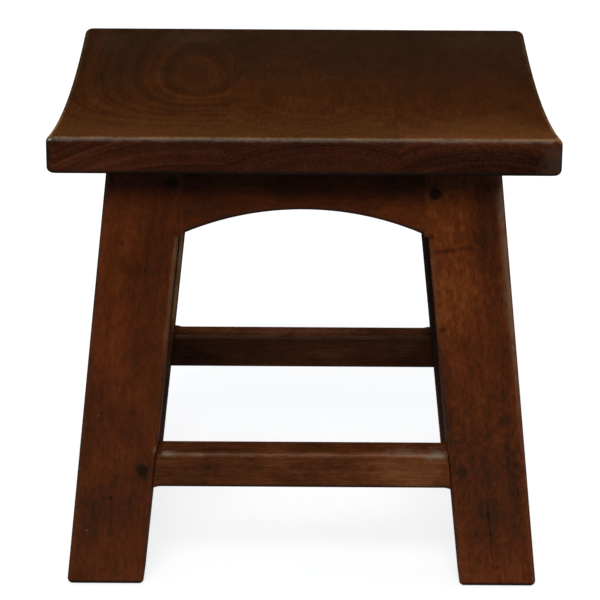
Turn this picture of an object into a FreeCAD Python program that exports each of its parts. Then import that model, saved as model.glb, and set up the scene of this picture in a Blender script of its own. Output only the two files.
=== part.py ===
# A low wooden stool: a seat of three dished boards on two splayed leg frames, pegged together.
# Millimetres, +Z up, front towards -Y. The origin is on the floor under the middle of the seat.
import FreeCAD
import Part
import math
import os
import Sketcher

DIMENSIONS = {
    "seat_width": 400,
    "seat_depth": 400,
    "rim_height": 393.5,
    "seat_thick": 29.5,
    "seat_dish": 15.6,
    "left_board": 138,
    "middle_board": 136,
    "seat_round": 5,
    "seat_corner": 8,
    "leg_setback": 37,
    "leg_thick": 38,
    "leg_width": 63,
    "splay": 6.2,
    "foot_outer": 194.9,
    "foot_round": 4,
    "arris_round": 5,
    "back_round": 4,
    "bearing_radius": 6,
    "apron_half": 95.5,
    "apron_thick": 25,
    "arch_top": 324.1,
    "arch_foot": 302.6,
    "side_arch_rise": 14,
    "stretcher_low": 87,
    "stretcher_deep": 31,
    "stretcher_thick": 30,
    "tenon_thick": 10,
    "tenon_long": 28,
    "side_tenon_long": 22,
    "tenon_shoulder": 5,
    "peg_diameter": 9,
    "peg_long": 28,
    "apron_peg_inset": 8.5,
    "left_peg_height": 346.5,
    "right_peg_height": 338.5,
    "stretcher_peg_inset": 10.5,
    "side_peg_inset": 9,
    "side_peg_height": 341,
    "cleat_half": 90,
    "cleat_thick": 22,
    "cleat_low": 333,
    "screw_head": 8,
    "screw_shank": 4,
    "screw_head_deep": 2.5,
    "cleat_screw_long": 38,
    "cleat_screw_apart": 45,
    "seat_screw_long": 38,
    "seat_screw_middle": 5,
    "seat_screw_apart": 82,
    "blank_top": 375,
    "overcut": 1,
}

# Sizes worked out from the driving dimensions, as expressions on the sheet
SEAT_HALF = "(Dims.seat_width / 2)"
SEAT_SIDES = (f"-{SEAT_HALF}", SEAT_HALF)
DEPTH_HALF = "(Dims.seat_depth / 2)"
DISH_RADIUS = f"(({DEPTH_HALF} ^ 2 + Dims.seat_dish ^ 2) / (2 * Dims.seat_dish))"
UNDER_RADIUS = f"({DISH_RADIUS} + Dims.seat_thick)"
DISH_CENTRE = f"(Dims.rim_height - Dims.seat_dish + {DISH_RADIUS})"
RIM_LOW = f"({DISH_CENTRE} - sqrt({UNDER_RADIUS} ^ 2 - {DEPTH_HALF} ^ 2))"
LEG_FRONT = f"({DEPTH_HALF} - Dims.leg_setback)"
LEG_BACK = f"({LEG_FRONT} - Dims.leg_thick)"
LEAN = "tan(Dims.splay)"
FOOT_INNER = "(Dims.foot_outer - Dims.leg_width / cos(Dims.splay))"
STRETCHER_TOP = "(Dims.stretcher_low + Dims.stretcher_deep)"
STRETCHER_MIDDLE = "(Dims.stretcher_low + Dims.stretcher_deep / 2)"
TENON_LOW = "(Dims.stretcher_low + Dims.tenon_shoulder)"
TENON_HIGH = f"({STRETCHER_TOP} - Dims.tenon_shoulder)"
APRON_BACK = f"({LEG_FRONT} - Dims.apron_thick)"
CLEAT_BACK = f"({APRON_BACK} - Dims.cleat_thick)"


def outer_edge(height):
    """Half-width of the leg frame at its outer edge, at a height above the floor."""
    return f"(Dims.foot_outer - {LEAN} * ({height}))"


def inner_edge(height):
    """Half-width between the legs, at a height above the floor."""
    return f"({FOOT_INNER} - {LEAN} * ({height}))"


ARCH_RISE = "(Dims.arch_top - Dims.arch_foot)"
ARCH_RADIUS = f"(({inner_edge('Dims.arch_foot')} ^ 2 + {ARCH_RISE} ^ 2) / (2 * {ARCH_RISE}))"
APRON_END = f"(Dims.arch_top - {ARCH_RADIUS} + sqrt({ARCH_RADIUS} ^ 2 - Dims.apron_half ^ 2))"
SIDE_ARCH_RADIUS = f"(({LEG_BACK} ^ 2 + Dims.side_arch_rise ^ 2) / (2 * Dims.side_arch_rise))"

doc = FreeCAD.newDocument("stool")
sheet = doc.addObject("Spreadsheet::Sheet", "Dims")
for row, (alias, size) in enumerate(DIMENSIONS.items(), start=1):
    sheet.set(f"A{row}", str(size))
    sheet.setAlias(f"A{row}", alias)
doc.recompute()

ACROSS = FreeCAD.Vector(1, 0, 0)
ALONG = FreeCAD.Vector(0, 1, 0)
UP = FreeCAD.Vector(0, 0, 1)
ORIGIN_POINT = (-1, 1)
INTO_FRONT = FreeCAD.Rotation(ACROSS, -90)
OUT_OF_FRONT = FreeCAD.Rotation(ACROSS, 90)
INTO_SIDE = FreeCAD.Rotation(ALONG, -90)


def number(expression):
    return float(sheet.evalExpression(str(expression)))


def new_body(name):
    return doc.addObject("PartDesign::Body", name)


def arc_between(start, end, radius, clockwise):
    """An arc from one corner to the next, and which of its two ends is the first corner."""
    chord = end - start
    middle = (start + end) * 0.5
    to_centre = math.sqrt(radius ** 2 - (chord.Length / 2) ** 2)
    left = FreeCAD.Vector(-chord.y, chord.x, 0).normalize()
    centre = middle + left * (-to_centre if clockwise else to_centre)
    first, last = (end, start) if clockwise else (start, end)
    angles = [math.atan2(p.y - centre.y, p.x - centre.x) for p in (first, last)]
    circle = Part.Circle(centre, UP, radius)
    return Part.ArcOfCircle(circle, *angles), (2, 1) if clockwise else (1, 2)


def bind(sketch, constraint, expression):
    """Adds a sized constraint and ties its size to the sheet."""
    index = sketch.addConstraint(Sketcher.Constraint(*constraint, number(expression)))
    sketch.setExpression(f"Constraints[{index}]", expression)


def outline(body, name, role, corners, offset="0", arcs=None, closed=True):
    """A sketch through corners given as expressions. arcs holds {edge: (radius, clockwise)}."""
    arcs = arcs or {}
    sketch = body.newObject("Sketcher::SketchObject", name)
    plane = next(p for p in body.Origin.OriginFeatures if p.Role == role)
    sketch.AttachmentSupport = [(plane, "")]
    sketch.MapMode = "FlatFace"
    sketch.setExpression("AttachmentOffset.Base.z", offset)
    points = [FreeCAD.Vector(number(x), number(y), 0) for x, y in corners]
    count = len(points)
    ends = []
    for edge in range(count if closed else count - 1):
        start, end = points[edge], points[(edge + 1) % count]
        if edge in arcs:
            radius, clockwise = arcs[edge]
            curve, order = arc_between(start, end, number(radius), clockwise)
        else:
            curve, order = Part.LineSegment(start, end), (1, 2)
        sketch.addGeometry(curve)
        ends.append((edge, order))
    joins = zip(ends, ends[1:] + ends[:1]) if closed else zip(ends, ends[1:])
    for (edge, order), (after, next_order) in joins:
        sketch.addConstraint(Sketcher.Constraint("Coincident", edge, order[1], after, next_order[0]))
    vertices = [(edge, order[0]) for edge, order in ends]
    if not closed:
        last, order = ends[-1]
        vertices.append((last, order[1]))
    for vertex, (x, y) in zip(vertices, corners):
        bind(sketch, ("DistanceX", *ORIGIN_POINT, *vertex), x)
        bind(sketch, ("DistanceY", *ORIGIN_POINT, *vertex), y)
    for edge, (radius, clockwise) in arcs.items():
        bind(sketch, ("Radius", edge), radius)
    return sketch


def rectangle(low_x, low_y, high_x, high_y):
    return [(low_x, low_y), (high_x, low_y), (high_x, high_y), (low_x, high_y)]


def pad(body, sketch, length):
    feature = body.newObject("PartDesign::Pad", f"{sketch.Name}_pad")
    feature.Profile = sketch
    feature.setExpression("Length", length)
    doc.recompute()
    return feature


def round_edges(body, name, radius, wanted):
    """Rounds each edge of the body for which wanted(edge) is true."""
    base = body.Tip
    edges = base.Shape.Edges
    chosen = [f"Edge{i}" for i, edge in enumerate(edges, start=1) if wanted(edge)]
    feature = body.newObject("PartDesign::Fillet", name)
    feature.Base = (base, chosen)
    feature.setExpression("Radius", radius)
    doc.recompute()


def near(value, expression):
    return abs(value - number(expression)) < 0.01


def lies_at(edge, axis, expression):
    """True if the whole edge lies in the plane where that coordinate has the value."""
    return all(near(getattr(v.Point, axis), expression) for v in edge.Vertexes)


def runs_along(edge, axis):
    span = (edge.Vertexes[-1].Point - edge.Vertexes[0].Point).normalize()
    return abs(span.dot(axis)) > 0.9


def upright(edge):
    return runs_along(edge, UP)


def arched(edge):
    return isinstance(edge.Curve, Part.Circle)


def cut(name, base, *tools):
    for step, tool in enumerate(tools):
        feature = doc.addObject("Part::Cut", f"{name}_cut_{step}")
        feature.Base = base
        feature.Tool = tool
        base = feature
    return base


def mirrored(name, source, normal):
    feature = doc.addObject("Part::Mirroring", name)
    feature.Source = source
    feature.Normal = normal
    return feature


def group(name, members):
    feature = doc.addObject("Part::Compound", name)
    feature.Links = members
    return feature


def tilt_to_side(feature):
    """Sets a piece made upright against the plane X = 0 onto the leaning outer face of the right legs."""
    feature.Placement.Rotation = FreeCAD.Rotation(ALONG, -number("Dims.splay"))
    feature.setExpression("Placement.Rotation.Axis.x", "0")
    feature.setExpression("Placement.Rotation.Axis.y", "1")
    feature.setExpression("Placement.Rotation.Axis.z", "0")
    feature.setExpression("Placement.Rotation.Angle", "-Dims.splay")
    feature.setExpression("Placement.Base.x", "Dims.foot_outer")


def place(feature, x, y, z):
    for axis, expression in zip("xyz", (x, y, z)):
        feature.setExpression(f"Placement.Base.{axis}", expression)


# The seat boards, each a curved strip of even thickness with its grain from front to back


def seat_board(name, left, right):
    body = new_body(name)
    corners = rectangle(f"-{DEPTH_HALF}", RIM_LOW, DEPTH_HALF, "Dims.rim_height")
    arcs = {0: (UNDER_RADIUS, False), 2: (DISH_RADIUS, True)}
    section = outline(body, f"{name}_section", "YZ_Plane", corners, left, arcs)
    pad(body, section, f"{right} - ({left})")
    glue_lines = [side for side in (left, right) if side not in SEAT_SIDES]
    for side in {left, right}.intersection(SEAT_SIDES):
        round_edges(
            body,
            f"{name}_corners",
            "Dims.seat_corner",
            lambda edge: lies_at(edge, "x", side) and upright(edge),
        )
    round_edges(
        body,
        f"{name}_arris",
        "Dims.seat_round",
        lambda edge: not upright(edge) and not any(lies_at(edge, "x", line) for line in glue_lines),
    )
    return body


# Round-over passes run along the arrises after glue-up, so they sweep round the inside corners


def pass_profile(body, name, role, corner_x, corner_y, into_x, into_y):
    """The part of a square arris outside its quarter round. into_x, into_y are signs into the wood."""

    def at(steps_x, steps_y):
        size = {1: "Dims.arris_round", 0: "0", -1: "-Dims.overcut"}
        return (
            f"{corner_x} + {into_x} * ({size[steps_x]})",
            f"{corner_y} + {into_y} * ({size[steps_y]})",
        )

    corners = [at(-1, -1), at(-1, 1), at(0, 1), at(1, 0), at(1, -1)]
    clockwise = into_x * into_y < 0
    return outline(body, name, role, corners, arcs={2: ("Dims.arris_round", clockwise)})


def pass_along(body, path, profile):
    feature = body.newObject("PartDesign::AdditivePipe", f"{path.Name}_pipe")
    feature.Profile = profile
    feature.Spine = (path, [f"Edge{i}" for i in range(1, path.GeometryCount + 1)])
    doc.recompute()
    return body


def back_pass(name):
    """Along the inner back arris of the front right leg, from the floor to the arch."""
    body = new_body(name)
    path = [(FOOT_INNER, "0"), (inner_edge("Dims.arch_foot"), "Dims.arch_foot")]
    spine = outline(body, f"{name}_path", "XZ_Plane", path, offset=LEG_BACK, closed=False)
    profile = pass_profile(body, f"{name}_profile", "XY_Plane", FOOT_INNER, f"-{LEG_BACK}", 1, -1)
    return pass_along(body, spine, profile)


def front_pass(name, height, upward, end):
    """From the middle of the front stretcher to the right leg, and along its inner edge to the end height."""
    body = new_body(name)
    sign = 1 if upward else -1
    half_angle = f"((90 - {sign} * Dims.splay) / 2)"
    run = f"(Dims.bearing_radius / tan({half_angle}))"
    corner = inner_edge(height)
    path = [
        ("0", height),
        (f"{corner} - {run}", height),
        (f"{corner} - {sign} * {run} * sin(Dims.splay)", f"{height} + {sign} * {run} * cos(Dims.splay)"),
        (inner_edge(end), end),
    ]
    arcs = {1: ("Dims.bearing_radius", not upward)}
    spine = outline(body, f"{name}_path", "XZ_Plane", path, offset=LEG_FRONT, arcs=arcs, closed=False)
    profile = pass_profile(body, f"{name}_profile", "YZ_Plane", f"-{LEG_FRONT}", height, 1, -sign)
    return pass_along(body, spine, profile)


def side_pass(name, height, upward, end):
    """The same along the outer face of the right side, from mid-length to the front leg."""
    body = new_body(name)
    sign = 1 if upward else -1
    path = [
        ("0", height),
        (f"Dims.bearing_radius - {LEG_BACK}", height),
        (f"-{LEG_BACK}", f"{height} + {sign} * Dims.bearing_radius"),
        (f"-{LEG_BACK}", end),
    ]
    arcs = {1: ("Dims.bearing_radius", upward)}
    spine = outline(body, f"{name}_path", "YZ_Plane", path, arcs=arcs, closed=False)
    profile = pass_profile(body, f"{name}_profile", "XZ_Plane", "0", height, -1, -sign)
    pass_along(body, spine, profile)
    tilt_to_side(body)
    return body


# The rails, each with a tenon at both ends


def front_apron():
    body = new_body("front_apron_blank")
    half = "Dims.apron_half"
    corners = rectangle(f"-{half}", APRON_END, half, "Dims.blank_top")
    arch = outline(body, "front_apron_face", "XZ_Plane", corners, APRON_BACK, {0: (ARCH_RADIUS, True)})
    pad(body, arch, "Dims.apron_thick")
    round_edges(body, "front_apron_arch", "Dims.arris_round", arched)
    reach = "(Dims.apron_half + Dims.tenon_long)"
    low = f"{APRON_END} + Dims.tenon_shoulder"
    tenon_back = f"{APRON_BACK} + (Dims.apron_thick - Dims.tenon_thick) / 2"
    for side, sign in (("left", "-"), ("right", "")):
        tongue = rectangle(f"{sign}Dims.apron_half", low, f"{sign}{reach}", "Dims.blank_top")
        tenon = outline(body, f"front_apron_{side}_tenon", "XZ_Plane", tongue, tenon_back)
        pad(body, tenon, "Dims.tenon_thick")
    return body


def front_stretcher():
    body = new_body("front_stretcher_blank")
    low, high = "Dims.stretcher_low", STRETCHER_TOP
    back = f"({LEG_FRONT} - Dims.stretcher_thick)"
    corners = [
        (f"-{inner_edge(low)}", low),
        (inner_edge(low), low),
        (inner_edge(high), high),
        (f"-{inner_edge(high)}", high),
    ]
    pad(body, outline(body, "front_stretcher_face", "XZ_Plane", corners, back), "Dims.stretcher_thick")
    round_edges(
        body,
        "front_stretcher_back",
        "Dims.back_round",
        lambda edge: lies_at(edge, "y", f"-{back}") and runs_along(edge, ACROSS),
    )
    reach = f"({inner_edge(STRETCHER_MIDDLE)} + Dims.tenon_long)"
    tenon = rectangle(f"-{reach}", TENON_LOW, reach, TENON_HIGH)
    tenon_back = f"{back} + (Dims.stretcher_thick - Dims.tenon_thick) / 2"
    pad(body, outline(body, "front_stretcher_tenon", "XZ_Plane", tenon, tenon_back), "Dims.tenon_thick")
    return body


def side_apron():
    """The right one, upright against the plane X = 0 before it is tilted into place."""
    body = new_body("side_apron_blank")
    end, top = "Dims.arch_foot", "Dims.blank_top"
    corners = rectangle(f"-{LEG_BACK}", end, LEG_BACK, top)
    arcs = {0: (SIDE_ARCH_RADIUS, True)}
    face = outline(body, "side_apron_face", "YZ_Plane", corners, "-Dims.apron_thick", arcs)
    pad(body, face, "Dims.apron_thick")
    round_edges(body, "side_apron_arch", "Dims.arris_round", arched)
    reach = f"({LEG_BACK} + Dims.side_tenon_long)"
    tenon_back = "-(Dims.apron_thick + Dims.tenon_thick) / 2"
    for side, sign in (("front", "-"), ("rear", "")):
        tongue = rectangle(f"{sign}{LEG_BACK}", f"{end} + Dims.tenon_shoulder", f"{sign}{reach}", top)
        tenon = outline(body, f"side_apron_{side}_tenon", "YZ_Plane", tongue, tenon_back)
        pad(body, tenon, "Dims.tenon_thick")
    tilt_to_side(body)
    return body


def side_stretcher():
    body = new_body("side_stretcher_blank")
    back = "-Dims.stretcher_thick"
    corners = rectangle(f"-{LEG_BACK}", "Dims.stretcher_low", LEG_BACK, STRETCHER_TOP)
    pad(body, outline(body, "side_stretcher_face", "YZ_Plane", corners, back), "Dims.stretcher_thick")
    round_edges(
        body,
        "side_stretcher_back",
        "Dims.back_round",
        lambda edge: lies_at(edge, "x", back) and runs_along(edge, ALONG),
    )
    reach = f"({LEG_BACK} + Dims.side_tenon_long)"
    tenon = rectangle(f"-{reach}", TENON_LOW, reach, TENON_HIGH)
    tenon_back = "-(Dims.stretcher_thick + Dims.tenon_thick) / 2"
    pad(body, outline(body, "side_stretcher_tenon", "YZ_Plane", tenon, tenon_back), "Dims.tenon_thick")
    tilt_to_side(body)
    return body


# The leg: leaning below the arch, plumb on its inner edge where the apron butts against it


def front_leg():
    body = new_body("front_leg_blank")
    corners = [
        (FOOT_INNER, "0"),
        ("Dims.foot_outer", "0"),
        (outer_edge("Dims.blank_top"), "Dims.blank_top"),
        ("Dims.apron_half", "Dims.blank_top"),
        ("Dims.apron_half", APRON_END),
        (inner_edge("Dims.arch_foot"), "Dims.arch_foot"),
    ]
    face = outline(body, "front_leg_face", "XZ_Plane", corners, LEG_BACK, {4: (ARCH_RADIUS, True)})
    pad(body, face, "Dims.leg_thick")

    outer_line = number(outer_edge("Dims.rim_height"))
    round_edges(
        body,
        "front_leg_arris",
        "Dims.arris_round",
        lambda edge: lies_at(edge, "y", f"-{LEG_FRONT}") and edge.CenterOfMass.x > outer_line,
    )
    round_edges(body, "front_leg_foot", "Dims.foot_round", lambda edge: lies_at(edge, "z", "0"))
    return body


# Pegs and screws


def peg(name, x, y, z, rotation):
    feature = doc.addObject("Part::Cylinder", name)
    feature.setExpression("Radius", "Dims.peg_diameter / 2")
    feature.setExpression("Height", "Dims.peg_long")
    feature.Placement.Rotation = rotation
    place(feature, x, y, z)
    return feature


def front_pegs(name, inset_line, heights):
    members = [
        peg(f"{name}_{side}", f"{sign}({inset_line})", f"-{LEG_FRONT}", height, INTO_FRONT)
        for side, sign, height in zip(("left", "right"), ("-", ""), heights)
    ]
    return group(name, members)


def side_pegs(name, height):
    line = f"({LEG_BACK} + Dims.side_peg_inset)"
    members = [
        peg(f"{name}_{end}", "0", f"{sign}{line}", height, INTO_SIDE)
        for end, sign in (("front", "-"), ("rear", ""))
    ]
    pair = group(name, members)
    tilt_to_side(pair)
    return pair


def screw(name, length, x, y, z, rotation):
    """A countersunk screw whose head lies flush at the given point."""
    head = doc.addObject("Part::Cone", f"{name}_head")
    head.setExpression("Radius1", "Dims.screw_head / 2")
    head.setExpression("Radius2", "Dims.screw_shank / 2")
    head.setExpression("Height", "Dims.screw_head_deep")
    shank = doc.addObject("Part::Cylinder", f"{name}_shank")
    shank.setExpression("Radius", "Dims.screw_shank / 2")
    shank.setExpression("Height", length)
    for feature in (head, shank):
        feature.Placement.Rotation = rotation
        place(feature, x, y, z)
    whole = doc.addObject("Part::Fuse", name)
    whole.Base = head
    whole.Tool = shank
    return whole


def front_cleat_screws():
    places = {"left": "-Dims.cleat_screw_apart", "right": "Dims.cleat_screw_apart"}
    height = "(Dims.cleat_low + Dims.cleat_thick / 2)"
    return [
        screw(f"cleat_screw_{side}", "Dims.cleat_screw_long", x, f"-{CLEAT_BACK}", height, OUT_OF_FRONT)
        for side, x in places.items()
    ]


def front_seat_screws():
    places = {
        "left": "-Dims.seat_screw_apart",
        "middle": "Dims.seat_screw_middle",
        "right": "Dims.seat_screw_apart",
    }
    line = f"-({CLEAT_BACK} + Dims.cleat_thick / 2)"
    return [
        screw(f"seat_screw_{side}", "Dims.seat_screw_long", x, line, "Dims.cleat_low", FreeCAD.Rotation())
        for side, x in places.items()
    ]


def front_and_rear(members):
    return members + [mirrored(f"{member.Name}_rear", member, ALONG) for member in members]


def front_cleat():
    box = doc.addObject("Part::Box", "front_cleat_blank")
    box.setExpression("Length", "2 * Dims.cleat_half")
    box.setExpression("Width", "Dims.cleat_thick")
    box.setExpression("Height", "Dims.blank_top - Dims.cleat_low")
    place(box, "-Dims.cleat_half", f"-{APRON_BACK}", "Dims.cleat_low")
    return box


def space_above_frame():
    """Everything above the curved underside of the seat, which scribes the tops of the frame."""
    tool = doc.addObject("Part::Cylinder", "space_above_frame")
    tool.setExpression("Radius", UNDER_RADIUS)
    tool.setExpression("Height", "2 * Dims.seat_width")
    tool.Placement.Rotation = FreeCAD.Rotation(ALONG, 90)
    place(tool, "-Dims.seat_width", "0", DISH_CENTRE)
    return tool


# Assembly: the pieces that others are cut to fit come first
pieces = {}
above = space_above_frame()
cleat_screws = group("cleat_screws", front_and_rear(front_cleat_screws()))
seat_screws = group("seat_screws", front_and_rear(front_seat_screws()))
pieces["cleat_screws"] = cleat_screws
pieces["seat_screws"] = seat_screws

# Seat boards and the cleats that hold them
first_joint = f"Dims.left_board - {SEAT_HALF}"
second_joint = f"{first_joint} + Dims.middle_board"
board_sides = {
    "left": (SEAT_SIDES[0], first_joint),
    "middle": (first_joint, second_joint),
    "right": (second_joint, SEAT_SIDES[1]),
}
for side, edges in board_sides.items():
    board = seat_board(f"board_{side}", *edges)
    pieces[f"seat_board_{side}"] = cut(f"seat_board_{side}", board, seat_screws)
pieces["cleat_front"] = cut("cleat_front", front_cleat(), above, cleat_screws, seat_screws)
pieces["cleat_rear"] = mirrored("cleat_rear", pieces["cleat_front"], ALONG)

# Round-over passes for the right half of the front and the front half of the right side
front_passes = [
    front_pass("front_upper_pass", STRETCHER_TOP, True, "Dims.arch_foot"),
    front_pass("front_lower_pass", "Dims.stretcher_low", False, "-Dims.foot_round"),
]
side_passes = [
    side_pass("side_upper_pass", STRETCHER_TOP, True, "Dims.arch_foot"),
    side_pass("side_lower_pass", "Dims.stretcher_low", False, "-Dims.leg_width"),
]
front_rounding = front_passes + [mirrored(f"{tool.Name}_left", tool, ACROSS) for tool in front_passes]
side_rounding = side_passes + [mirrored(f"{tool.Name}_rear", tool, ALONG) for tool in side_passes]

# Rails and their pegs at the front and the right, and their mirror images
blanks = {
    "apron_front": cut("front_apron", front_apron(), above),
    "stretcher_front": front_stretcher(),
    "apron_right": cut("side_apron", side_apron(), above),
    "stretcher_right": side_stretcher(),
}
apron_peg_line = "Dims.apron_half + Dims.apron_peg_inset"
apron_peg_heights = ("Dims.left_peg_height", "Dims.right_peg_height")
stretcher_peg_line = f"{inner_edge(STRETCHER_MIDDLE)} + Dims.stretcher_peg_inset"
pegs = {
    "apron_front": front_pegs("apron_front_pegs", apron_peg_line, apron_peg_heights),
    "stretcher_front": front_pegs("stretcher_front_pegs", stretcher_peg_line, [STRETCHER_MIDDLE] * 2),
    "apron_right": side_pegs("apron_right_pegs", "Dims.side_peg_height"),
    "stretcher_right": side_pegs("stretcher_right_pegs", STRETCHER_MIDDLE),
}
extra_cuts = {
    "apron_front": [cleat_screws],
    "stretcher_front": front_rounding,
    "apron_right": [],
    "stretcher_right": side_rounding,
}
opposite = {"front": ("rear", ALONG), "right": ("left", ACROSS)}
for name, blank in blanks.items():
    kind, side = name.split("_")
    far_side, normal = opposite[side]
    far_name = f"{kind}_{far_side}"
    pieces[name] = cut(name, blank, pegs[name], *extra_cuts[name])
    pieces[f"{name}_pegs"] = pegs[name]
    pieces[far_name] = mirrored(far_name, pieces[name], normal)
    pieces[f"{far_name}_pegs"] = mirrored(f"{far_name}_pegs", pegs[name], normal)

# Legs: mortised by the tenons they hold, rounded over, then bored for the pegs
leg_passes = front_passes + side_passes + [back_pass("back_pass")]
right_blank = cut("front_leg", front_leg(), above, *blanks.values(), *leg_passes)
left_blank = mirrored("left_front_leg", right_blank, ACROSS)
for side, blank in (("right", right_blank), ("left", left_blank)):
    side_pairs = [pieces[f"apron_{side}_pegs"], pieces[f"stretcher_{side}_pegs"]]
    leg = cut(f"leg_front_{side}", blank, pegs["apron_front"], pegs["stretcher_front"], *side_pairs)
    pieces[f"leg_front_{side}"] = leg
    pieces[f"leg_rear_{side}"] = mirrored(f"leg_rear_{side}", leg, ALONG)

for name, feature in pieces.items():
    feature.Label = name
doc.recompute()
failed = [o.Name for o in doc.Objects if "Invalid" in o.State or "Error" in o.State]
failed += [name for name, feature in pieces.items() if feature.Shape.isNull() or not feature.Shape.isValid()]
if failed:
    raise RuntimeError(f"these objects failed: {failed}")

os.makedirs("parts", exist_ok=True)
for name, feature in pieces.items():
    feature.Shape.exportStep(f"parts/{name}.step")
    print(f"{name}: {len(feature.Shape.Solids)} solid(s), {feature.Shape.Volume / 1000:.1f} cm3")
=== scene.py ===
import math
from dataclasses import dataclass

import bpy
from mathutils import Matrix, Vector


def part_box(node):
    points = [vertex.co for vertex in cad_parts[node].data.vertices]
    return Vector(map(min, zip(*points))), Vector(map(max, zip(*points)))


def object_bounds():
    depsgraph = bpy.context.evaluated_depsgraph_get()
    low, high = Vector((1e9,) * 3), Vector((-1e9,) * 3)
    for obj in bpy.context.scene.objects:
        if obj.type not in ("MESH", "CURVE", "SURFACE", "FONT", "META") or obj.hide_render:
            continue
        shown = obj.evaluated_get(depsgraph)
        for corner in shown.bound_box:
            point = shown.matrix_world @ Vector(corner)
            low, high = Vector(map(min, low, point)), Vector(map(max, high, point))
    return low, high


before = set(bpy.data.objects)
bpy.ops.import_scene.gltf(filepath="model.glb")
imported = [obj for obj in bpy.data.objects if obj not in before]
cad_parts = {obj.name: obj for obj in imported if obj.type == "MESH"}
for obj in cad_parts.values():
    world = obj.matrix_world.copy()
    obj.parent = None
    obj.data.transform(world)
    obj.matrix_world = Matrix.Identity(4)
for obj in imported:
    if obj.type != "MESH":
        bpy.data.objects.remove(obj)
cad_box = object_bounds()

X_AXIS = (1.0, 0.0, 0.0)
Y_AXIS = (0.0, 1.0, 0.0)
Z_AXIS = (0.0, 0.0, 1.0)

# Stain colours from the darkest pores and knots to the lightest wood
FRAME_STAIN = (
    (0.0, (0.010, 0.0040, 0.0020)),
    (0.2, (0.028, 0.0082, 0.0030)),
    (0.5, (0.058, 0.0120, 0.0024)),
    (0.8, (0.093, 0.0200, 0.0036)),
    (1.0, (0.134, 0.0330, 0.0062)),
)
SEAT_STAIN = (
    (0.0, (0.011, 0.0040, 0.0014)),
    (0.3, (0.021, 0.0071, 0.0022)),
    (0.5, (0.040, 0.0103, 0.0018)),
    (0.7, (0.068, 0.0215, 0.0046)),
    (1.0, (0.110, 0.0360, 0.0090)),
)
END_GRAIN_STAIN = (
    (0.0, (0.007, 0.0028, 0.0016)),
    (0.5, (0.033, 0.0074, 0.0022)),
    (1.0, (0.064, 0.0160, 0.0055)),
)
RAIL_STAIN = (
    (0.0, (0.012, 0.0050, 0.0020)),
    (0.3, (0.034, 0.0100, 0.0031)),
    (0.6, (0.066, 0.0174, 0.0048)),
    (1.0, (0.125, 0.0400, 0.0135)),
)
PEG_STAIN = (
    (0.0, (0.003, 0.0018, 0.0012)),
    (1.0, (0.026, 0.0084, 0.0026)),
)
PLANED_WOOD = (
    (0.0, (0.080, 0.036, 0.016)),
    (0.5, (0.170, 0.082, 0.038)),
    (1.0, (0.240, 0.130, 0.066)),
)
# Pale colours of the arrises: wood pale from use, also used for painted highlights and painted
# reflections, and bare wood of chipped spots, also used for painted glints and painted sheen
WORN_WOOD = (0.12, 0.054, 0.024, 1.0)
PALE_WOOD = (0.24, 0.14, 0.05, 1.0)
BARE_WOOD = (0.1, 0.065, 0.04, 1.0)

# Lacquer, and what makes it rougher
LACQUER_GLOSS = 0.4
LACQUER_TINT = (1.0, 0.86, 0.7, 1.0)
LACQUER_ROUGHNESS = 0.26
FIBRE_ROUGHNESS = 0.08
PORE_ROUGHNESS = 0.06
END_ROUGHNESS = 0.05
WORN_ROUGHNESS = 0.1

# Figures of the grain as (stretch along the grain, scale, detail); the smaller the stretch, the longer
RING_WANDER = (0.3, 13.0, 2.0)
RING_RIPPLE = (0.5, 60.0, 2.0)
CLOUDS = (0.7, 24.0, 2.0)
MOTTLE = (0.6, 75.0, 3.0)
STREAKS = (0.1, 130.0, 3.0)
SPECKLES = (0.45, 420.0, 2.0)
FIBRES = (0.04, 700.0, 3.0)
PORES = (0.05, 1900.0, 1.0)
PORE_RIM = (0.12, 0.24)
PORE_SHADE = 0.12
MOTTLE_SHARE = 0.6

# Growth rings: how far they wander, in metres, and how they shade the end grain
WANDER_ACROSS = 0.012
WANDER_THROUGH = 0.006
EARLY_WOOD_DETAIL = 3.0
FINE_RINGS = 1.8
FINE_RING_DETAIL = 4.0
END_EARLY_WOOD = 0.4
END_FINE_RINGS = 0.9
END_SPECKLE = 0.5
# Painted shade on the rim of the end grain, where the arris turns
END_RIM_SHADE = 0.3

# Spots: how far they reach through the wood, the share of them at full strength, and their ragged outlines
SPOT_DEPTH = 0.02
SPOT_CORE = 0.2
RAGGED_SCALE = 160.0
MARK_RAGGED = 0.8
RUB_RAGGED = 0.5
CHIP_RAGGED = 1.6

# Turns of a rounded arris: the share of its normal along an axis where a mask is 0, and where it is 1
OFF_ANY_FACE = (0.99, 0.94)
OFF_FACE = (0.998, 0.95)
OFF_END = (0.4, 0.15)
OFF_UNDERSIDE = (-0.35, -0.12)
ONTO_END = (0.2, 0.45)
SHORT_OF_END = (0.75, 0.5)
ONTO_TOP = (0.0, 0.3)
END_GRAIN = (0.17, 0.4)
END_RIM = (0.97, 0.75)

# Paleness of the arrises, from wearing and from painted highlights: how softly it ends round an arris, and
# the patches that it comes in
WORN_TURN = 0.25
WORN_PATCHES = (-0.4, 0.2)
PATCH_SPECKLE = 0.5

# Planing: how fine its waves are, what stands out against them, and the depth of it all in metres
PLANING_WAVES = 70.0
PLANING_RIPPLES = 230.0
RIPPLE_SHARE = 0.3
ARRIS_DENTS = 5.0
FIBRE_RISE = 0.05
PORE_DEPTH = 0.06
BUMP_STRENGTH = 0.4
BUMP_DEPTH = 0.0006

# Noise runs from 0 to 1, around this
NOISE_MIDDLE = 0.5


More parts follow.
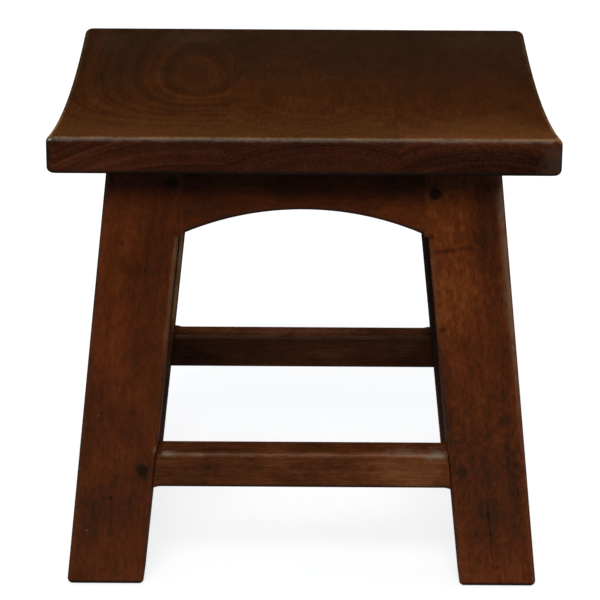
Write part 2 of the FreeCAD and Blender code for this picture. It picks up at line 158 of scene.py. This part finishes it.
class Wire:
    """A number or colour running out of a node; sums on it add Math nodes."""

    def __init__(self, recipe, socket):
        self.recipe = recipe
        self.socket = socket

    def math(self, operation, *terms):
        sockets = dict(enumerate(terms))
        return self.recipe.node("ShaderNodeMath", {"operation": operation}, sockets)

    def __add__(self, other):
        return self.math("ADD", self, other)

    def __radd__(self, other):
        return self.math("ADD", other, self)

    def __sub__(self, other):
        return self.math("SUBTRACT", self, other)

    def __rsub__(self, other):
        return self.math("SUBTRACT", other, self)

    def __mul__(self, other):
        return self.math("MULTIPLY", self, other)

    def __rmul__(self, other):
        return self.math("MULTIPLY", other, self)

    def __truediv__(self, other):
        return self.math("DIVIDE", self, other)

    def __rtruediv__(self, other):
        return self.math("DIVIDE", other, self)

    def __abs__(self):
        return self.math("ABSOLUTE", self)

    def root(self):
        return self.math("SQRT", self)

    def most(self, other):
        return self.math("MAXIMUM", self, other)

    def smooth(self, low, high):
        """0 below low, 1 above high and an even turn between; high may be the lower one."""
        ends = {"Value": self, "From Min": low, "From Max": high}
        return self.recipe.node("ShaderNodeMapRange", {"interpolation_type": "SMOOTHSTEP"}, ends)


class Recipe:
    """The nodes of one material or of the surroundings."""

    def __init__(self, tree):
        self.tree = tree
        tree.nodes.clear()

    def node(self, kind, settings=None, sockets=None, output=0):
        """Adds a node, makes its settings and then fills its sockets with values or wires."""
        made = self.tree.nodes.new(kind)
        for name, value in (settings or {}).items():
            if name == "stops":
                set_stops(made.color_ramp, value)
            else:
                setattr(made, name, value)
        for name, value in (sockets or {}).items():
            if isinstance(value, Wire):
                self.tree.links.new(value.socket, made.inputs[name])
            else:
                made.inputs[name].default_value = value
        return Wire(self, made.outputs[output]) if made.outputs else None

    def dot(self, vector, direction):
        sockets = {0: vector, 1: direction}
        return self.node("ShaderNodeVectorMath", {"operation": "DOT_PRODUCT"}, sockets, "Value")

    def vector(self, x, y, z):
        return self.node("ShaderNodeCombineXYZ", sockets={"X": x, "Y": y, "Z": z})

    def noise(self, place, scale, detail=2.0):
        """Noise that swings evenly below and above 0."""
        sockets = {"Vector": place, "Scale": scale, "Detail": detail}
        return self.node("ShaderNodeTexNoise", sockets=sockets) - NOISE_MIDDLE

    def ramp(self, amount, stops):
        return self.node("ShaderNodeValToRGB", {"stops": stops}, {"Fac": amount})

    def blend(self, amount, first, second):
        """The first colour turning into the second; a Mix node has colours at inputs 6, 7 and output 2."""
        return self.node("ShaderNodeMix", {"data_type": "RGBA"}, {0: amount, 6: first, 7: second}, 2)


def set_stops(ramp, stops):
    """Gives a colour ramp one element for each (position, colour)."""
    while len(ramp.elements) < len(stops):
        ramp.elements.new(1.0)
    for element, (position, colour) in zip(ramp.elements, stops):
        element.position = position
        element.color = (*colour, 1.0)


def new_recipe(name):
    material = bpy.data.materials.new(name)
    material.use_nodes = True
    return material, Recipe(material.node_tree)


@dataclass
class Board:
    """How a piece was sawn and stained, where it turns pale from wearing and painted highlights, and where
    shade is painted.

    along, across, through: directions along the grain, across the face and through the thickness.
    heart: where the heart of the tree lies at start, across and through;
    lean, bend and skew move it along the grain.
    ring: width of a growth ring.
    rings_show and the like: how much the rings, clouds, streaks, speckles and fibres change the tone.
    seed: which stretch of the tree the grain is taken from.
    tone: the place of the wood between the darkest and the lightest stain.
    fade: tone lost for each metre along the grain.
    wear, end_wear: how pale the arrises along the grain and the upper ones at the ends turn, from wearing
    and as painted highlight.
    worn, worn_to: the colour that shows there, and how far round an arris it reaches; 0 is the whole way.
    gloss: strength of the lacquer's mirror image.
    stain, end_stain: colours of the long grain and of the end grain.
    marks, chips, rubs: spots given as (centre, width, length, strength), with the length along the grain;
    marks shift the tone, and some are painted shade and painted light; chips show bare wood,
    and some are painted glints and painted sheen; rubs paint highlights and reflections on the arrises
    they cover.
    """

    along: tuple
    across: tuple
    through: tuple
    heart: tuple
    start: float = 0.0
    lean: float = 0.0
    bend: float = 0.0
    skew: float = 0.0
    ring: float = 0.0045
    rings_show: float = 0.2
    cloud_show: float = 0.8
    streak_show: float = 0.0
    speckle_show: float = 0.5
    fibre_show: float = 0.3
    seed: float = 0.0
    tone: float = 0.5
    fade: float = 0.0
    wear: float = 0.5
    end_wear: float = 0.0
    worn: tuple = WORN_WOOD
    worn_to: float = 0.3
    gloss: float = LACQUER_GLOSS
    stain: tuple = FRAME_STAIN
    end_stain: tuple = END_GRAIN_STAIN
    marks: tuple = ()
    chips: tuple = ()
    rubs: tuple = ()

    def measured(self, point):
        """A point of the stool, measured across, through and along this piece."""
        return [Vector(point).dot(Vector(axis)) for axis in (self.across, self.through, self.along)]


class SawnWood:
    """The wood of one board: where each point lies in it, which way it faces, and the grain there."""

    def __init__(self, recipe, board):
        self.recipe = recipe
        self.board = board
        self.place = recipe.node("ShaderNodeTexCoord", output="Object")
        self.along = recipe.dot(self.place, board.along)
        self.across = recipe.dot(self.place, board.across)
        self.through = recipe.dot(self.place, board.through)
        self.own_place = recipe.vector(self.across, self.through, self.along)
        self.seeded = self.along + board.seed

        normal = recipe.node("ShaderNodeNewGeometry", output="Normal")
        self.upward = recipe.dot(normal, Z_AXIS)
        self.facing_end = abs(recipe.dot(normal, board.along))
        self.facing_side = abs(recipe.dot(normal, board.across))
        self.facing_out = abs(recipe.dot(normal, board.through))
        self.end_grain = self.facing_end.smooth(*END_GRAIN)

        self.mottle = self.figure(MOTTLE)
        self.speckle = self.figure(SPECKLES)
        self.fibre = self.figure(FIBRES)
        self.pores = self.figure(PORES).smooth(*PORE_RIM)
        self.ragged = recipe.noise(self.place, RAGGED_SCALE)

    def figure(self, drawn):
        """Noise drawn out along the grain."""
        stretch, scale, detail = drawn
        place = self.recipe.vector(self.across, self.through, self.seeded * stretch)
        return self.recipe.noise(place, scale, detail)

    def spots(self, marks, raggedness):
        """The sum of soft spots with ragged outlines."""
        recipe = self.recipe
        ragged = self.ragged * raggedness
        total = 0.0
        for centre, width, length, strength in marks:
            sockets = {
                "Vector": self.own_place,
                "Location": self.board.measured(centre),
                "Scale": (width, SPOT_DEPTH, length),
            }
            scaled = recipe.node("ShaderNodeMapping", {"vector_type": "TEXTURE"}, sockets)
            distance = recipe.node("ShaderNodeVectorMath", {"operation": "LENGTH"}, {0: scaled}, "Value")
            total = total + (distance + ragged).smooth(1.0, SPOT_CORE) * strength
        return total

    def growth_rings(self):
        """Distance from the heart of the tree, counted in growth rings."""
        board = self.board
        run = self.along - board.start
        heart_across = board.heart[0] + run * board.lean
        heart_through = board.heart[1] - run * run * (board.bend - run * board.skew)
        wander = self.figure(RING_WANDER)
        side = self.across - heart_across + wander * WANDER_ACROSS
        rise = self.through - heart_through + wander * WANDER_THROUGH
        return (side * side + rise * rise).root() / board.ring

    def stained(self):
        """Stain on the long grain, and on the end grain, where the rings are cut across."""
        recipe = self.recipe
        board = self.board
        rings = self.growth_rings()
        early_wood = recipe.noise(recipe.vector(rings, board.seed, 0.0), 1.0, EARLY_WOOD_DETAIL)
        rippled = recipe.vector(rings * FINE_RINGS, board.seed, self.figure(RING_RIPPLE))
        fine_rings = recipe.noise(rippled, 1.0, FINE_RING_DETAIL)
        clouding = self.figure(CLOUDS) + self.mottle * MOTTLE_SHARE

        tone = board.tone + early_wood * board.rings_show + clouding * board.cloud_show
        tone = tone + self.figure(STREAKS) * board.streak_show + self.speckle * board.speckle_show
        tone = tone + self.fibre * board.fibre_show - self.pores * PORE_SHADE
        tone = tone + self.spots(board.marks, MARK_RAGGED)
        long_grain = recipe.ramp(tone - self.along * board.fade, board.stain)

        end_tone = tone + early_wood * END_EARLY_WOOD + fine_rings * END_FINE_RINGS
        end_tone = end_tone + self.speckle * END_SPECKLE
        # Painted shade: the end grain is darkened on the upper rounding of the arris, where the lamps
        # light it brightly
        end_tone = end_tone - self.facing_end.smooth(*END_RIM) * END_RIM_SHADE
        cut_rings = recipe.ramp(end_tone, board.end_stain)
        return recipe.blend(self.end_grain, long_grain, cut_rings)

    def rubbed(self):
        """How pale the arrises are, in patches: partly from wearing, partly painted highlights and painted
        reflections.
        """
        board = self.board
        worn_from = (board.worn_to, board.worn_to + WORN_TURN)
        sides = self.facing_out.smooth(*OFF_FACE) * self.facing_out.smooth(*worn_from)
        sides = sides * self.facing_end.smooth(*OFF_END) * self.upward.smooth(*OFF_UNDERSIDE)
        sides = sides * (self.spots(board.rubs, RUB_RAGGED) + board.wear)
        ends = self.facing_end.smooth(*ONTO_END) * self.facing_end.smooth(*SHORT_OF_END)
        ends = ends * self.upward.smooth(*ONTO_TOP)
        patches = (self.mottle + self.speckle * PATCH_SPECKLE).smooth(*WORN_PATCHES)
        return (sides + ends * board.end_wear) * patches

    def planed(self):
        """Bump of planing waves, deeper as dents along the arrises, with fibres and pores."""
        recipe = self.recipe
        waves = recipe.noise(self.place, PLANING_WAVES)
        planing = waves + recipe.noise(self.place, PLANING_RIPPLES) * RIPPLE_SHARE
        on_arris = self.facing_end.most(self.facing_out).most(self.facing_side).smooth(*OFF_ANY_FACE)
        height = planing * (on_arris * ARRIS_DENTS + 1.0)
        height = height + self.fibre * FIBRE_RISE - self.pores * PORE_DEPTH
        sockets = {"Strength": BUMP_STRENGTH, "Distance": BUMP_DEPTH, "Height": height}
        return recipe.node("ShaderNodeBump", sockets=sockets)


def lacquered_wood(name, board):
    """Stained and lacquered wood, cut through a solid tree, with arrises pale from wearing and from
    painted highlights, and darker end grain.
    """
    material, recipe = new_recipe(name)
    wood = SawnWood(recipe, board)
    # Paleness of the arrises, partly from wearing and partly painted highlights and painted reflections
    wear = wood.rubbed()
    colour = recipe.blend(wear, wood.stained(), board.worn)
    # Bare wood in chipped spots, and painted glints and painted sheen in the same colour
    if board.chips:
        colour = recipe.blend(wood.spots(board.chips, CHIP_RAGGED), colour, BARE_WOOD)
    roughness = LACQUER_ROUGHNESS + wood.fibre * FIBRE_ROUGHNESS + wood.pores * PORE_ROUGHNESS
    roughness = roughness + wood.end_grain * END_ROUGHNESS + wear * WORN_ROUGHNESS
    shader = recipe.node(
        "ShaderNodeBsdfPrincipled",
        sockets={
            "Base Color": colour,
            "Roughness": roughness,
            "Specular IOR Level": board.gloss,
            "Specular Tint": LACQUER_TINT,
            "Normal": wood.planed(),
        },
    )
    recipe.node("ShaderNodeOutputMaterial", sockets={"Surface": shader})
    return material


# Zinc-plated steel of the screws
STEEL_COLOUR = (0.42, 0.41, 0.39, 1.0)
DULL_STEEL = (0.2, 0.19, 0.17, 1.0)
DULL_SPECKS = 400.0
DULL_DETAIL = 3.0
DULL_SHARE = 0.5
BRIGHT_ROUGHNESS = 0.25
DULL_ROUGHNESS = 0.3
SPECK_BUMP = 0.2
SPECK_DEPTH = 0.0001


def plated_steel(name):
    """Zinc-plated screw steel, a little dulled."""
    material, recipe = new_recipe(name)
    place = recipe.node("ShaderNodeTexCoord", output="Object")
    dulled = recipe.noise(place, DULL_SPECKS, DULL_DETAIL) + NOISE_MIDDLE
    bump_sockets = {"Strength": SPECK_BUMP, "Distance": SPECK_DEPTH, "Height": dulled}
    shader = recipe.node(
        "ShaderNodeBsdfPrincipled",
        sockets={
            "Base Color": recipe.blend(dulled * DULL_SHARE, STEEL_COLOUR, DULL_STEEL),
            "Metallic": 1.0,
            "Roughness": dulled * DULL_ROUGHNESS + BRIGHT_ROUGHNESS,
            "Normal": recipe.node("ShaderNodeBump", sockets=bump_sockets),
        },
    )
    recipe.node("ShaderNodeOutputMaterial", sockets={"Surface": shader})
    return material


def finish_node(name, material):
    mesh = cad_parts[name].data
    mesh.materials.clear()
    mesh.materials.append(material)


# Seat: three boards with the grain from front to back, paler towards the front and darker towards the back
SEAT_FRONT = cad_box[0].y
SEAT_LEFT = cad_box[0].x
SEAT_RIGHT = cad_box[1].x
SEAT = {
    "stain": SEAT_STAIN,
    "fade": 1.42,
    "tone": 0.462,
    "cloud_show": 0.25,
    "speckle_show": 0.25,
    # Pale arrises: partly wearing, partly painted highlight along the front arris and painted reflection
    # along the sides
    "wear": 0.12,
    "end_wear": 0.35,
    "worn": PALE_WOOD,
    "worn_to": 0.05,
}


def seat_board(**sawn):
    return Board(Y_AXIS, X_AXIS, Z_AXIS, **SEAT, **sawn)


BOARDS = {
    "seat_board_left": seat_board(
        heart=(-0.094, 0.34),
        start=0.093,
        lean=-0.035,
        bend=1.0,
        skew=4.0,
        ring=0.0042,
        rings_show=0.6,
        seed=1.3,
        marks=(((-0.175, SEAT_FRONT, 0.372), 0.06, 0.02, 0.2),),
        # Painted sheen near the back edge, in bare wood colour
        chips=(
            ((-0.100, 0.175, 0.389), 0.04, 0.025, 0.05),
            ((-0.172, 0.160, 0.389), 0.02, 0.03, 0.04),
        ),
        # Painted reflection along the left side arris
        rubs=(((SEAT_LEFT, -0.17, 0.388), 0.02, 0.2, 0.75),),
    ),
    "seat_board_middle": seat_board(
        heart=(-0.004, 0.22), lean=-0.1, bend=0.3, ring=0.0048, rings_show=0.35, seed=4.1
    ),
    "seat_board_right": seat_board(
        heart=(0.165, 0.25),
        start=0.1,
        lean=0.08,
        bend=0.3,
        rings_show=0.35,
        seed=7.7,
        marks=(
            ((0.15, -0.17, 0.39), 0.1, 0.1, 0.2),
            ((0.15, SEAT_FRONT, 0.372), 0.08, 0.02, -0.2),
        ),
        # Painted sheen near the back right corner and at the right end of the front face
        chips=(
            ((0.155, 0.165, 0.389), 0.055, 0.03, 0.03),
            ((0.193, SEAT_FRONT, 0.374), 0.016, 0.02, 0.15),
        ),
        # Painted reflection along the right side arris
        rubs=(((SEAT_RIGHT, -0.17, 0.388), 0.02, 0.2, 0.75),),
    ),
}

# Face of the front frame, and the middles of its pegs
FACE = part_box("leg_front_left")[0].y
PEG_RADIUS = 0.0045


def peg_places(rail):
    """Middles of a front rail's left and right pegs on the face; the left one is as high or higher."""
    low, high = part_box(rail + "_front_pegs")
    left = (low.x + PEG_RADIUS, FACE, high.z - PEG_RADIUS)
    right = (high.x - PEG_RADIUS, FACE, low.z + PEG_RADIUS)
    return left, right


UPPER_LEFT_PEG, UPPER_RIGHT_PEG = peg_places("apron")
LOWER_LEFT_PEG, LOWER_RIGHT_PEG = peg_places("stretcher")

# Legs, leaning out to the left (-1) or right (+1)
SPLAY = math.radians(6.2)
REAR_LEG_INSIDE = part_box("leg_rear_left")[0].y
LEG = {
    "ring": 0.006,
    "cloud_show": 0.55,
    "streak_show": 0.35,
    "speckle_show": 0.6,
    "fibre_show": 0.15,
    "wear": 0.05,
    "worn_to": 0.35,
}


def leg(side, **sawn):
    upward = (-side * math.sin(SPLAY), 0.0, math.cos(SPLAY))
    across = (math.cos(SPLAY), 0.0, side * math.sin(SPLAY))
    return Board(upward, across, Y_AXIS, **{**LEG, **sawn})


BOARDS["leg_front_left"] = leg(
    -1,
    heart=(-0.4, -0.25),
    seed=2.2,
    tone=0.54,
    marks=(
        # Dark clouds
        ((-0.128, FACE, 0.250), 0.03, 0.03, -0.1),
        ((-0.150, FACE, 0.075), 0.03, 0.04, -0.13),
        # Stain gathered round the pegs
        (UPPER_LEFT_PEG, 0.0085, 0.0085, -0.3),
        (LOWER_LEFT_PEG, 0.011, 0.011, -0.25),
        (LOWER_LEFT_PEG, 0.03, 0.035, -0.14),
        # Dark patches
        ((-0.119, FACE, 0.288), 0.02, 0.035, -0.12),
        ((-0.133, FACE, 0.217), 0.02, 0.03, -0.1),
        ((-0.168, FACE, 0.157), 0.018, 0.035, -0.15),
        ((-0.140, FACE, 0.139), 0.02, 0.03, -0.15),
        ((-0.171, FACE, 0.064), 0.02, 0.035, -0.14),
        # Pale patches
        ((-0.149, FACE, 0.322), 0.025, 0.03, 0.12),
        ((-0.138, FACE, 0.297), 0.016, 0.02, 0.1),
        ((-0.162, FACE, 0.212), 0.02, 0.03, 0.12),
        ((-0.140, FACE, 0.178), 0.025, 0.03, 0.14),
        # Pin knots
        ((-0.144, FACE, 0.297), 0.003, 0.003, -0.3),
        ((-0.112, FACE, 0.266), 0.0025, 0.0025, -0.25),
        ((-0.157, FACE, 0.0775), 0.003, 0.003, -0.3),
    ),
    chips=(
        ((-0.166, FACE, 0.150), 0.0018, 0.0012, 0.45),
        ((-0.177, FACE, 0.049), 0.0024, 0.0012, 0.4),
        # Painted glint at the inside corner above the stretcher
        ((-0.1205, FACE, 0.1195), 0.002, 0.004, 0.8),
    ),
    # Painted reflection on the inner front arris
    rubs=(((-0.1037, FACE, 0.265), 0.02, 0.085, 0.6),),
)
BOARDS["leg_front_right"] = leg(
    1,
    heart=(0.4, -0.2),
    seed=5.9,
    tone=0.64,
    speckle_show=0.75,
    marks=(
        # Stain gathered round the pegs
        (UPPER_RIGHT_PEG, 0.0085, 0.0085, -0.3),
        (LOWER_RIGHT_PEG, 0.009, 0.009, -0.12),
        # Dark line across the leg
        ((0.104, FACE, 0.2902), 0.010, 0.0035, -0.3),
        ((0.116, FACE, 0.2918), 0.010, 0.0032, -0.4),
        ((0.128, FACE, 0.2940), 0.011, 0.0025, -0.25),
        # Pale wood at the top; the upper spot is painted light, lifting the shade under the seat
        ((0.125, FACE, 0.350), 0.035, 0.02, 0.2),
        ((0.112, FACE, 0.316), 0.025, 0.04, 0.2),
        # Pin knots
        ((0.1117, FACE, 0.2253), 0.006, 0.004, -0.4),
        ((0.161, FACE, 0.0175), 0.005, 0.003, -0.35),
        ((0.1012, FACE, 0.3032), 0.004, 0.004, -0.45),
        # Pale wood on the inner side of the face, and a dark streak along the outer
        ((0.118, FACE, 0.255), 0.035, 0.055, 0.27),
        ((0.146, FACE, 0.300), 0.016, 0.08, -0.3),
        ((0.159, FACE, 0.200), 0.011, 0.08, -0.1),
        ((0.170, FACE, 0.125), 0.009, 0.08, -0.16),
        # Dark fibre near the foot
        ((0.155, FACE, 0.050), 0.0014, 0.05, -0.2),
        # Darker wood low down and along the inner arris
        ((0.152, FACE, 0.085), 0.07, 0.075, -0.28),
        ((0.145, FACE, 0.150), 0.06, 0.05, -0.12),
        ((0.116, FACE, 0.160), 0.012, 0.07, -0.25),
    ),
    # Painted reflection and painted highlight on the outer arris, in bare wood colour
    chips=(
        ((0.156, FACE, 0.335), 0.006, 0.035, 0.4),
        ((0.1615, FACE, 0.270), 0.0035, 0.09, 0.35),
    ),
    # Painted highlights on the inner arris and down the outer arris
    rubs=(
        ((0.1037, FACE, 0.27), 0.012, 0.07, 0.3),
        ((0.1650, FACE, 0.275), 0.02, 0.10, 0.8),
        ((0.1765, FACE, 0.170), 0.02, 0.06, 0.4),
    ),
)
BOARDS["leg_rear_left"] = leg(
    -1,
    heart=(-0.4, 0.3),
    seed=8.4,
    # A pale painted highlight along the inner arris of the rear leg
    worn=PALE_WOOD,
    # Painted shade low on the front of the rear leg, in the shadow of the front frame
    marks=(((-0.125, REAR_LEG_INSIDE, 0.07), 0.03, 0.08, -0.3),),
    rubs=(((-0.1125, REAR_LEG_INSIDE, 0.180), 0.02, 0.065, 1.0),),
)
BOARDS["leg_rear_right"] = leg(
    1,
    heart=(0.45, 0.3),
    seed=11.6,
    # Painted shade on the front of the rear leg, in the shadow of the front frame
    marks=(((0.12, REAR_LEG_INSIDE, 0.13), 0.03, 0.17, -0.35),),
)


# Rails, along the front and rear or along the sides
def long_rail(**sawn):
    return Board(X_AXIS, Z_AXIS, Y_AXIS, **sawn)


def side_rail(**sawn):
    return Board(Y_AXIS, Z_AXIS, X_AXIS, **sawn)


APRON = {"heart": (0.5, -0.1), "ring": 0.005, "tone": 0.47, "fibre_show": 0.18, "wear": 0.2}
STRETCHER = {
    "heart": (0.2, -0.3),
    "ring": 0.004,
    "rings_show": 0.5,
    "fibre_show": 0.6,
    "gloss": 0.2,
    "stain": RAIL_STAIN,
}
# Rear stretcher, at the height of the others
stretcher_low, stretcher_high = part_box("stretcher_rear")
STRETCHER_INSIDE = stretcher_low.y
STRETCHER_DEPTH_MIDDLE = (stretcher_low.y + stretcher_high.y) / 2
STRETCHER_HEIGHT_MIDDLE = (stretcher_low.z + stretcher_high.z) / 2
STRETCHER_TOP = stretcher_high.z

BOARDS["apron_front"] = long_rail(
    **APRON,
    seed=3.1,
    marks=(
        ((0.080, FACE, 0.318), 0.025, 0.04, 0.27),
        ((-0.085, FACE, 0.318), 0.025, 0.03, 0.1),
        ((0.0, FACE, 0.335), 0.02, 0.05, -0.1),
    ),
)
BOARDS["apron_rear"] = long_rail(**APRON, seed=9.3)
BOARDS["stretcher_front"] = long_rail(
    **STRETCHER,
    seed=4.8,
    tone=0.58,
    wear=0.15,
    marks=(
        ((-0.108, FACE, STRETCHER_HEIGHT_MIDDLE), 0.05, 0.05, -0.2),
        ((0.087, FACE, STRETCHER_HEIGHT_MIDDLE), 0.05, 0.04, 0.22),
    ),
    # Painted highlights in bare wood colour: a pale facet at the right end of the top arris and highlights
    # on its left part
    chips=(
        ((0.1085, FACE, 0.1165), 0.0045, 0.0105, 1.0),
        ((0.083, FACE, 0.1175), 0.003, 0.02, 0.5),
        ((-0.1096, FACE, 0.1162), 0.003, 0.009, 0.7),
        ((-0.0855, FACE, 0.1158), 0.002, 0.01, 0.4),
    ),
)
BOARDS["stretcher_rear"] = long_rail(
    **STRETCHER,
    seed=11.0,
    tone=0.57,
    # Pale arrises, painted as the highlight along the top
    wear=0.8,
    marks=(
        # Painted shadow at both ends, beside the legs
        ((-0.118, STRETCHER_INSIDE, 0.095), 0.05, 0.045, -0.33),
        ((0.118, STRETCHER_INSIDE, 0.095), 0.05, 0.025, -0.1),
        # Painted light along the top
        ((-0.030, STRETCHER_DEPTH_MIDDLE, STRETCHER_TOP), 0.007, 0.13, 0.4),
    ),
)
for row, apron_seed, stretcher_seed in (("left", 6.5, 8.2), ("right", 12.8, 14.5)):
    BOARDS["apron_" + row] = side_rail(**APRON, seed=apron_seed)
    BOARDS["stretcher_" + row] = side_rail(**STRETCHER, seed=stretcher_seed, tone=0.58)

for name, board in BOARDS.items():
    finish_node(name, lacquered_wood(name + "_wood", board))

# Pegs, darker in the aprons; on the left the upper one is paler, painted light in the shade under the
# seat, and the lower one darker
PEG_MARKS = (
    (UPPER_LEFT_PEG, 0.01, 0.01, 0.5),
    (LOWER_LEFT_PEG, 0.01, 0.01, -0.65),
)
FRONT_TO_BACK = (Y_AXIS, X_AXIS, Z_AXIS)
SIDE_TO_SIDE = (X_AXIS, Y_AXIS, Z_AXIS)
PEG_GRAIN = {"front": FRONT_TO_BACK, "rear": FRONT_TO_BACK, "left": SIDE_TO_SIDE, "right": SIDE_TO_SIDE}
for rail, tone in (("apron", 0.65), ("stretcher", 1.0)):
    for row, grain in PEG_GRAIN.items():
        peg = Board(
            *grain,
            heart=(0.0, 0.0),
            ring=0.0015,
            tone=tone,
            wear=0.0,
            stain=PEG_STAIN,
            end_stain=PEG_STAIN,
            marks=PEG_MARKS,
        )
        pegs = rail + "_" + row + "_pegs"
        finish_node(pegs, lacquered_wood(pegs + "_wood", peg))

# Cleats and screws
for row, seed in (("front", 14.2), ("rear", 15.9)):
    cleat = long_rail(
        heart=(0.5, 0.1), ring=0.004, seed=seed, wear=0.0, stain=PLANED_WOOD, end_stain=PLANED_WOOD
    )
    finish_node("cleat_" + row, lacquered_wood("cleat_wood_" + row, cleat))
steel = plated_steel("screw_steel")
for screws in ("cleat_screws", "seat_screws"):
    finish_node(screws, steel)


# Floor and surroundings; the gloss fades in or out between two distances from the stool's middle
FLOOR_HALF = 12.0
FLOOR_GLOW = 0.78
FLOOR_COLOUR = (0.2, 0.2, 0.2, 1.0)
WHITE = (1.0, 1.0, 1.0, 1.0)
SKY_GLOSS = 0.002
FRONT_GLOSS = 0.09
SIDE_GLOSS = 0.15
GLOSS_IN_FRONT = (-1.2, -0.3)
GLOSS_BEHIND = (0.6, 0.1)
GLOSS_ON_RIGHT = (0.3, 0.9)
AMBIENT = 0.28
AMBIENT_COLOUR = (0.9, 1.1, 1.38, 1.0)


def seen_white(recipe, gloss):
    """1 where the eye sees a surface straight or through something, a little where gloss mirrors it."""
    straight = recipe.node("ShaderNodeLightPath", output="Is Camera Ray")
    through = recipe.node("ShaderNodeLightPath", output="Is Transmission Ray")
    mirrored = recipe.node("ShaderNodeLightPath", output="Is Glossy Ray")
    return straight.most(through).most(mirrored * gloss)


def ambient(recipe):
    """Colour and strength of the faint light that matt surfaces get from all around."""
    strength = recipe.node("ShaderNodeLightPath", output="Is Diffuse Ray") * AMBIENT
    return {"Color": AMBIENT_COLOUR, "Strength": strength}


def floor_gloss(recipe):
    """How bright gloss mirrors the floor: faintly in front of the stool, more on its right."""
    place = recipe.node("ShaderNodeTexCoord", output="Object")
    depth = recipe.dot(place, Y_AXIS)
    near = depth.smooth(*GLOSS_IN_FRONT) * depth.smooth(*GLOSS_BEHIND)
    beside = recipe.dot(place, X_AXIS).smooth(*GLOSS_ON_RIGHT)
    return near * (beside * SIDE_GLOSS + FRONT_GLOSS)


def pale_floor():
    mesh = bpy.data.meshes.new("floor")
    corners = [(x * FLOOR_HALF, y * FLOOR_HALF, 0.0) for x, y in ((-1, -1), (1, -1), (1, 1), (-1, 1))]
    mesh.from_pydata(corners, [], [(0, 1, 2, 3)])
    floor = bpy.data.objects.new("floor", mesh)
    bpy.context.scene.collection.objects.link(floor)
    material, recipe = new_recipe("pale_floor")
    shaded = recipe.node("ShaderNodeBsdfDiffuse", sockets={"Color": FLOOR_COLOUR})
    glow = recipe.node("ShaderNodeEmission", sockets={"Strength": FLOOR_GLOW})
    white = recipe.node("ShaderNodeAddShader", sockets={0: shaded, 1: glow})
    dim = recipe.node("ShaderNodeEmission", sockets=ambient(recipe))
    seen = seen_white(recipe, floor_gloss(recipe))
    surface = recipe.node("ShaderNodeMixShader", sockets={0: seen, 1: dim, 2: white})
    recipe.node("ShaderNodeOutputMaterial", sockets={"Surface": surface})
    mesh.materials.append(material)


def surroundings():
    world = bpy.data.worlds.new("studio")
    world.use_nodes = True
    bpy.context.scene.world = world
    recipe = Recipe(world.node_tree)
    seen = seen_white(recipe, SKY_GLOSS)
    backdrop = recipe.node("ShaderNodeBackground", sockets={"Color": WHITE, "Strength": seen})
    fill = recipe.node("ShaderNodeBackground", sockets=ambient(recipe))
    light = recipe.node("ShaderNodeAddShader", sockets={0: backdrop, 1: fill})
    recipe.node("ShaderNodeOutputWorld", sockets={"Surface": light})


def soft_lamp(name, toward, level, width, matt=True, gloss=False):
    """A distant lamp, so many degrees wide, that matt or glossy surfaces show.

    Level 1 shows a matt surface that faces the lamp in its own colour.
    """
    light = bpy.data.lights.new(name, "SUN")
    light.energy = level * math.pi
    light.angle = math.radians(width)
    lamp = bpy.data.objects.new(name, light)
    lamp.rotation_euler = Vector(toward).to_track_quat("Z", "Y").to_euler()
    lamp.visible_diffuse = matt
    lamp.visible_glossy = gloss
    bpy.context.scene.collection.objects.link(lamp)


pale_floor()
surroundings()
soft_lamp("front_light", toward=(-0.06, -0.72, 0.68), level=1.02, width=27.0)
soft_lamp("top_light", toward=(-0.1, -0.05, 1.0), level=0.22, width=46.0)
soft_lamp("top_card", toward=(-0.08, -0.27, 0.96), level=0.55, width=60.0, matt=False, gloss=True)
soft_lamp("left_light", toward=(-1.0, -0.05, 0.2), level=0.1, width=30.0)
soft_lamp("left_card", toward=(-0.84, 0.11, 0.53), level=0.6, width=24.0, matt=False, gloss=True)
soft_lamp("right_light", toward=(1.0, -0.05, 0.2), level=0.5, width=30.0)
soft_lamp("rear_light", toward=(0.1, 0.7, 0.7), level=0.42, width=30.0)
soft_lamp("back_glow", toward=(0.1, 0.83, 0.56), level=0.00027, width=18.0, gloss=True)

# Camera, fitted to the outline of the stool in the picture; angles in radians
FRAME_PIXELS = 600
FOCAL_PIXELS = 2619.5
SENSOR_WIDTH = 36.0
CAMERA_PLACE = (-0.0026, -2.1558, 0.9026)
CAMERA_PITCH = 0.3165
CAMERA_ROLL = 0.006


def set_up_camera():
    lens = bpy.data.cameras.new("camera")
    lens.sensor_width = SENSOR_WIDTH
    lens.lens = SENSOR_WIDTH * FOCAL_PIXELS / FRAME_PIXELS
    camera = bpy.data.objects.new("camera", lens)
    level = Matrix.Rotation(math.pi / 2 - CAMERA_PITCH, 4, "X")
    roll = Matrix.Rotation(CAMERA_ROLL, 4, "Z")
    camera.matrix_world = Matrix.Translation(CAMERA_PLACE) @ level @ roll
    bpy.context.scene.collection.objects.link(camera)
    bpy.context.scene.camera = camera


set_up_camera()
bpy.context.scene.view_settings.view_transform = "Standard"
